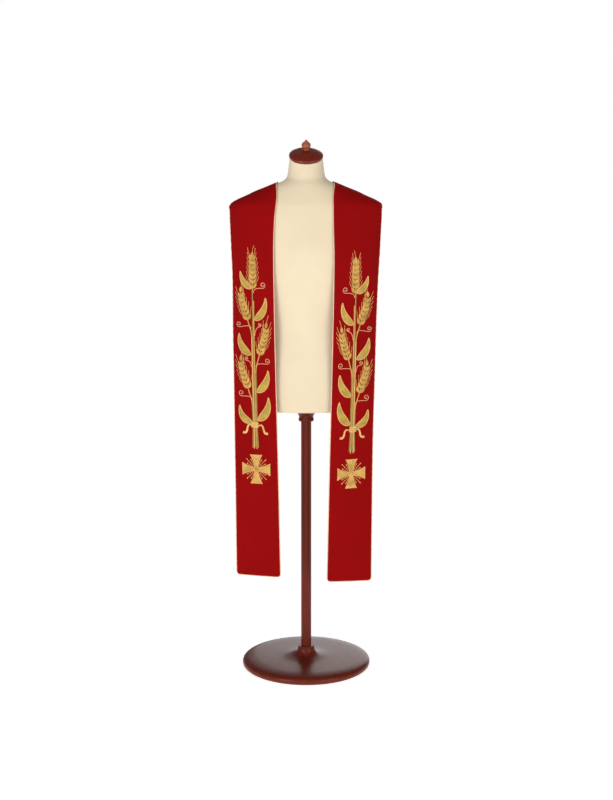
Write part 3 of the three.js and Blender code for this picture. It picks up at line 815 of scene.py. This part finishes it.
class Nodes:
    """A material's node tree, written as short calls."""

    def __init__(self, name, base_color, roughness, **sockets):
        self.material = bpy.data.materials.new(name)
        self.material.use_nodes = True
        self.tree = self.material.node_tree
        self.shader = self.tree.nodes["Principled BSDF"]
        self.shader.inputs["Base Color"].default_value = (*base_color, 1)
        self.shader.inputs["Roughness"].default_value = roughness
        for socket, value in sockets.items():
            self.shader.inputs[socket.replace("_", " ")].default_value = value

    def node(self, kind, **settings):
        """A new node. Each setting is one of its properties, or else the value of an input."""
        made = self.tree.nodes.new(kind)
        for key, value in settings.items():
            if hasattr(made, key):
                setattr(made, key, value)
            else:
                made.inputs[key.replace("_", " ").strip()].default_value = value
        return made

    def link(self, out, into):
        self.tree.links.new(out, into)
        return out

    def maths(self, operation, a, b=0.0):
        made = self.node("ShaderNodeMath", operation=operation)
        for socket, value in zip(made.inputs, (a, b)):
            if isinstance(value, (int, float)):
                socket.default_value = value
            else:
                self.link(value, socket)
        return made.outputs[0]

    def coordinates(self, source, scale=(1, 1, 1)):
        """The Stitch UV map, or one of the texture coordinates, scaled."""
        mapping = self.node("ShaderNodeMapping")
        mapping.inputs["Scale"].default_value = scale
        if source == "Stitch":
            made = self.node("ShaderNodeUVMap", uv_map="Stitch").outputs["UV"]
        else:
            made = self.node("ShaderNodeTexCoord").outputs[source]
        self.link(made, mapping.inputs["Vector"])
        return mapping.outputs["Vector"]

    def noise(self, vector, scale, detail=3.0, roughness=0.5):
        made = self.node("ShaderNodeTexNoise", Scale=scale, Detail=detail, Roughness=roughness)
        self.link(vector, made.inputs["Vector"])
        return made.outputs["Fac"]

    def ramp(self, value, *stops):
        made = self.node("ShaderNodeValToRGB")
        elements = made.color_ramp.elements
        while len(elements) < len(stops):
            elements.new(0.5)
        for element, (position, color) in zip(elements, stops):
            element.position = position
            element.color = (*color, 1)
        self.link(value, made.inputs["Fac"])
        return made.outputs["Color"]

    def bump(self, height, distance, strength=1.0):
        made = self.node("ShaderNodeBump", Distance=distance, Strength=strength)
        self.link(height, made.inputs["Height"])
        self.link(made.outputs["Normal"], self.shader.inputs["Normal"])

    def split(self, vector):
        made = self.node("ShaderNodeSeparateXYZ")
        self.link(vector, made.inputs["Vector"])
        return made.outputs


def wave(nodes, value, pitch):
    """A wave of that pitch along value, from 0 to 1."""
    turn = nodes.maths("MULTIPLY", value, 2 * math.pi / pitch)
    half = nodes.maths("MULTIPLY", nodes.maths("SINE", turn), 0.5)
    return nodes.maths("ADD", half, 0.5)


def mixed(nodes, *parts):
    """The sum of (value, weight) pairs."""
    total = 0.0
    for value, weight in parts:
        total = nodes.maths("ADD", total, nodes.maths("MULTIPLY", value, weight))
    return total


def red_cloth():
    """Fine red twill: diagonal ribs, a little unevenness of dye, and painted shade in the weave's
    grooves.
    """
    n = Nodes("red_twill", (0.30, 0.003, 0.004), 0.85, Sheen_Weight=0.02, Sheen_Roughness=0.5,
              Specular_IOR_Level=0.04)
    n.shader.inputs["Sheen Tint"].default_value = (1.0, 0.1, 0.08, 1)
    across, along = n.split(n.coordinates("Stitch"))[:2]
    rib = wave(n, n.maths("ADD", n.maths("MULTIPLY", across, 0.8), along), 0.0013)
    thread = wave(n, across, 0.0009)
    weave = mixed(n, (rib, 0.7), (thread, 0.3))
    cloud = n.noise(n.coordinates("Object"), 7.0, 4.0)
    fine = n.noise(n.coordinates("Stitch", (1, 0.25, 1)), 900.0, 2.0)
    # The weave darkens the colour in the grooves of the ribs and between the threads, where its bump is
    # low: painted shade. The cloud and fine noise are uneven dye.
    tone = mixed(n, (weave, 0.3), (fine, 0.35), (cloud, 0.45))
    color = n.ramp(tone, (0.25, (0.212, 0.0017, 0.0020)), (0.8, (0.318, 0.0031, 0.0038)))
    n.link(color, n.shader.inputs["Base Color"])
    n.bump(mixed(n, (weave, 1.0), (fine, 0.5)), 0.00022, 0.6)
    return n.material


def satin_thread(name, dark, light, pitch=0.0006):
    """Lustrous embroidery thread: close parallel stitches with slightly uneven tone, and painted shade in
    the grooves between the stitches.
    """
    n = Nodes(name, light, 0.4, Metallic=0.15, Specular_IOR_Level=0.45, Sheen_Weight=0.1,
              Sheen_Roughness=0.3)
    across = n.split(n.coordinates("Stitch"))[0]
    wander = n.noise(n.coordinates("Stitch"), 90.0, 2.0)
    stitch = wave(n, mixed(n, (across, 1.0), (wander, 0.0006)), pitch)
    streak = n.noise(n.coordinates("Stitch", (1, 0.06, 1)), 1600.0, 2.0, 0.6)
    patch = n.noise(n.coordinates("Object"), 55.0, 2.0)
    # The stitch wave darkens the colour in the grooves between stitches, where its bump is low: painted
    # shade. Streak and patch are uneven tone.
    tone = mixed(n, (streak, 0.4), (patch, 0.5), (stitch, 0.16))
    n.link(n.ramp(tone, (0.36, dark), (0.70, light)), n.shader.inputs["Base Color"])
    n.link(mixed(n, (streak, 0.3), (1.0, 0.28)), n.shader.inputs["Roughness"])
    n.bump(mixed(n, (stitch, 1.0), (streak, 0.5)), 0.00022, 0.8)
    return n.material


def wound_cord(name, dark, light):
    """Cord of gimp thread: fine windings across each of its twisted strands, with painted shade in the
    grooves between strands and windings.
    """
    n = Nodes(name, light, 0.45, Metallic=0.2, Specular_IOR_Level=0.5)
    along, around = n.split(n.coordinates("Stitch"))[:2]
    winding = wave(n, mixed(n, (along, 1.0), (around, 0.0012)), 0.00045)
    lobe = n.maths("ABSOLUTE", n.maths("COSINE", n.maths("MULTIPLY", around, 2 * math.pi)))
    patch = n.noise(n.coordinates("Object"), 40.0, 3.0)
    # lobe follows the strands' section, so the colour is lighter on each strand's crest and darker in the
    # groove between the strands, and winding darkens the grooves between windings: painted shade. Patch
    # is uneven tone.
    tone = mixed(n, (lobe, 0.5), (patch, 0.4), (winding, 0.1))
    n.link(n.ramp(tone, (0.2, dark), (0.75, light)), n.shader.inputs["Base Color"])
    n.bump(winding, 0.0001, 0.6)
    return n.material


def jersey():
    """The form's cream covering: a fine knit, faintly uneven in tone, with painted shade between the
    knit's loops.
    """
    n = Nodes("cream_jersey", (0.72, 0.61, 0.44), 0.88, Sheen_Weight=0.1, Sheen_Roughness=0.5,
              Specular_IOR_Level=0.2)
    vector = n.coordinates("Object")
    x, y, z = n.split(vector)[:3]
    knit = n.maths("MULTIPLY", wave(n, n.maths("ADD", x, y), 0.0017), wave(n, z, 0.0013))
    # The knit darkens the colour where its bump is low, between the loops: painted shade. The noise is
    # uneven tone.
    tone = mixed(n, (n.noise(vector, 5.0, 4.0), 0.8), (knit, 0.2))
    color = n.ramp(tone, (0.3, (0.74, 0.62, 0.43)), (0.75, (0.83, 0.71, 0.51)))
    n.link(color, n.shader.inputs["Base Color"])
    n.bump(mixed(n, (knit, 1.0), (n.noise(vector, 700.0, 2.0), 0.6)), 0.00025, 0.5)
    return n.material


def varnished(name, dark, light, coat=0.12):
    """Varnished wood: soft upright grain, fine pores, and a clear coat."""
    n = Nodes(name, light, 0.4, Coat_Weight=coat, Coat_Roughness=0.12, Specular_IOR_Level=0.15)
    figure = n.noise(n.coordinates("Object", (26, 26, 2.2)), 2.2, 4.0, 0.6)
    streak = n.noise(n.coordinates("Object", (150, 150, 7)), 2.0, 3.0, 0.6)
    pores = n.noise(n.coordinates("Object", (420, 420, 26)), 3.0, 2.0, 0.7)
    tone = mixed(n, (figure, 0.45), (streak, 0.4), (pores, 0.15))
    n.link(n.ramp(tone, (0.3, dark), (0.7, light)), n.shader.inputs["Base Color"])
    n.link(mixed(n, (pores, 0.2), (1.0, 0.3)), n.shader.inputs["Roughness"])
    n.bump(pores, 0.0001, 0.2)
    return n.material


def make_materials():
    return {
        "red_cloth": red_cloth(),
        "piping_cord": wound_cord("rose_gold_piping", (0.66, 0.32, 0.19), (0.97, 0.62, 0.42)),
        "gold_cord": wound_cord("gold_couching", (0.38, 0.20, 0.035), (0.78, 0.47, 0.13)),
        "olive_cord": wound_cord("olive_couching", (0.18, 0.115, 0.015), (0.46, 0.30, 0.055)),
        "pale_cord": wound_cord("pale_gold_couching", (0.66, 0.34, 0.085), (1.00, 0.60, 0.22)),
        "rose_cord": wound_cord("rose_gold_couching", (0.62, 0.22, 0.09), (0.95, 0.47, 0.24)),
        "gold_satin": satin_thread("gold_satin", (0.36, 0.20, 0.025), (0.92, 0.55, 0.13)),
        "pale_satin": satin_thread("pale_gold_satin", (0.62, 0.36, 0.09), (0.98, 0.64, 0.24)),
        "olive_satin": satin_thread("olive_satin", (0.25, 0.21, 0.015), (0.74, 0.50, 0.075)),
        "jersey": jersey(),
        "mahogany": varnished("mahogany", (0.088, 0.008, 0.002), (0.188, 0.021, 0.007)),
        "cap_wood": varnished("polished_mahogany", (0.084, 0.006, 0.001), (0.192, 0.014, 0.002), 0.6),
        "finial_wood": varnished("finial_wood", (0.24, 0.060, 0.028), (0.40, 0.112, 0.056)),
    }


# ---- Floor, light and camera -------------------------------------------------

FLOOR_REACH = 40.0

# The suns: the way they stand, in degrees from the front towards the right and up, their strength
# and how wide they are in degrees.
SUNS = {
    "key": (-36, 8, 1.28, 25),
    "fill": (40, 5, 1.08, 35),
    "back": (168, 12, 0.7, 35),
}

CAMERA_PLACE = (0.001, -3.991, 1.459)
CAMERA_TILT = 8.75  # degrees down from level
LENS, SENSOR_WIDTH = 59.0, 36.0  # millimetres


def build_floor():
    n = Nodes("pale_floor", (0.85, 0.85, 0.85), 0.9, Specular_IOR_Level=0.0, Emission_Strength=0.74)
    n.shader.inputs["Emission Color"].default_value = (1, 1, 1, 1)
    mesh = bpy.data.meshes.new("floor")
    r = FLOOR_REACH
    mesh.from_pydata([(-r, -r, 0), (r, -r, 0), (r, r, 0), (-r, r, 0)], [], [(0, 1, 2, 3)])
    mesh.materials.append(n.material)
    floor = bpy.data.objects.new("floor", mesh)
    bpy.context.scene.collection.objects.link(floor)


def add_light(name, kind, place, aim, **settings):
    """A light at that place, which points at the aim."""
    data = bpy.data.lights.new(name, kind)
    for key, value in settings.items():
        setattr(data, key, value)
    lamp = bpy.data.objects.new(name, data)
    lamp.location = place
    lamp.rotation_mode = "QUATERNION"
    lamp.rotation_quaternion = (Vector(aim) - Vector(place)).to_track_quat("-Z", "Y")
    bpy.context.scene.collection.objects.link(lamp)


def light_world():
    """White walls to the eye, which give less light than they seem to."""
    world = bpy.data.worlds.new("studio")
    bpy.context.scene.world = world
    world.use_nodes = True
    tree = world.node_tree
    background = tree.nodes["Background"]
    background.inputs["Color"].default_value = (1, 1, 1, 1)
    path = tree.nodes.new("ShaderNodeLightPath")
    strength = tree.nodes.new("ShaderNodeMapRange")
    strength.inputs["To Min"].default_value = 0.2
    strength.inputs["To Max"].default_value = 1.0
    tree.links.new(path.outputs["Is Camera Ray"], strength.inputs["Value"])
    tree.links.new(strength.outputs["Result"], background.inputs["Strength"])


def light_scene():
    light_world()
    for name, (azimuth, elevation, strength, width) in SUNS.items():
        a, e = math.radians(azimuth), math.radians(elevation)
        place = (math.sin(a) * math.cos(e), -math.cos(a) * math.cos(e), math.sin(e))
        add_light(name, "SUN", place, (0, 0, 0), energy=strength, angle=math.radians(width))
    add_light("softbox", "AREA", (-0.3, -2.9, 2.9), (0, 0, 1.4), energy=15, shape="RECTANGLE",
              size=2.4, size_y=0.9)
    bpy.context.scene.view_settings.view_transform = "Standard"


def make_camera():
    """The camera: at the height of the shoulders, straight in front, looking a little down."""
    data = bpy.data.cameras.new("camera")
    data.lens = LENS
    data.sensor_width = SENSOR_WIDTH
    camera = bpy.data.objects.new("camera", data)
    camera.location = CAMERA_PLACE
    camera.rotation_euler = (math.radians(90 - CAMERA_TILT), 0, 0)
    bpy.context.scene.collection.objects.link(camera)
    bpy.context.scene.camera = camera


# ---- Assembly ----------------------------------------------------------------


def build_side(band, materials):
    """One band and all that is sewn on it."""
    cloth = build_band(band, materials["red_cloth"])
    sewn_on = [build_piping(band, materials["piping_cord"])]
    sewn_on += stitch_cross(band, materials)
    sewn_on += stitch_sheaf(band, materials)
    sewn_on.sort(key=lambda made: made.name)


make_camera()
materials = make_materials()
build_form(materials["jersey"])
build_stand(materials)
for options in BANDS:
    build_side(Band(**options), materials)
build_floor()
light_scene()

bpy.context.view_layer.update()
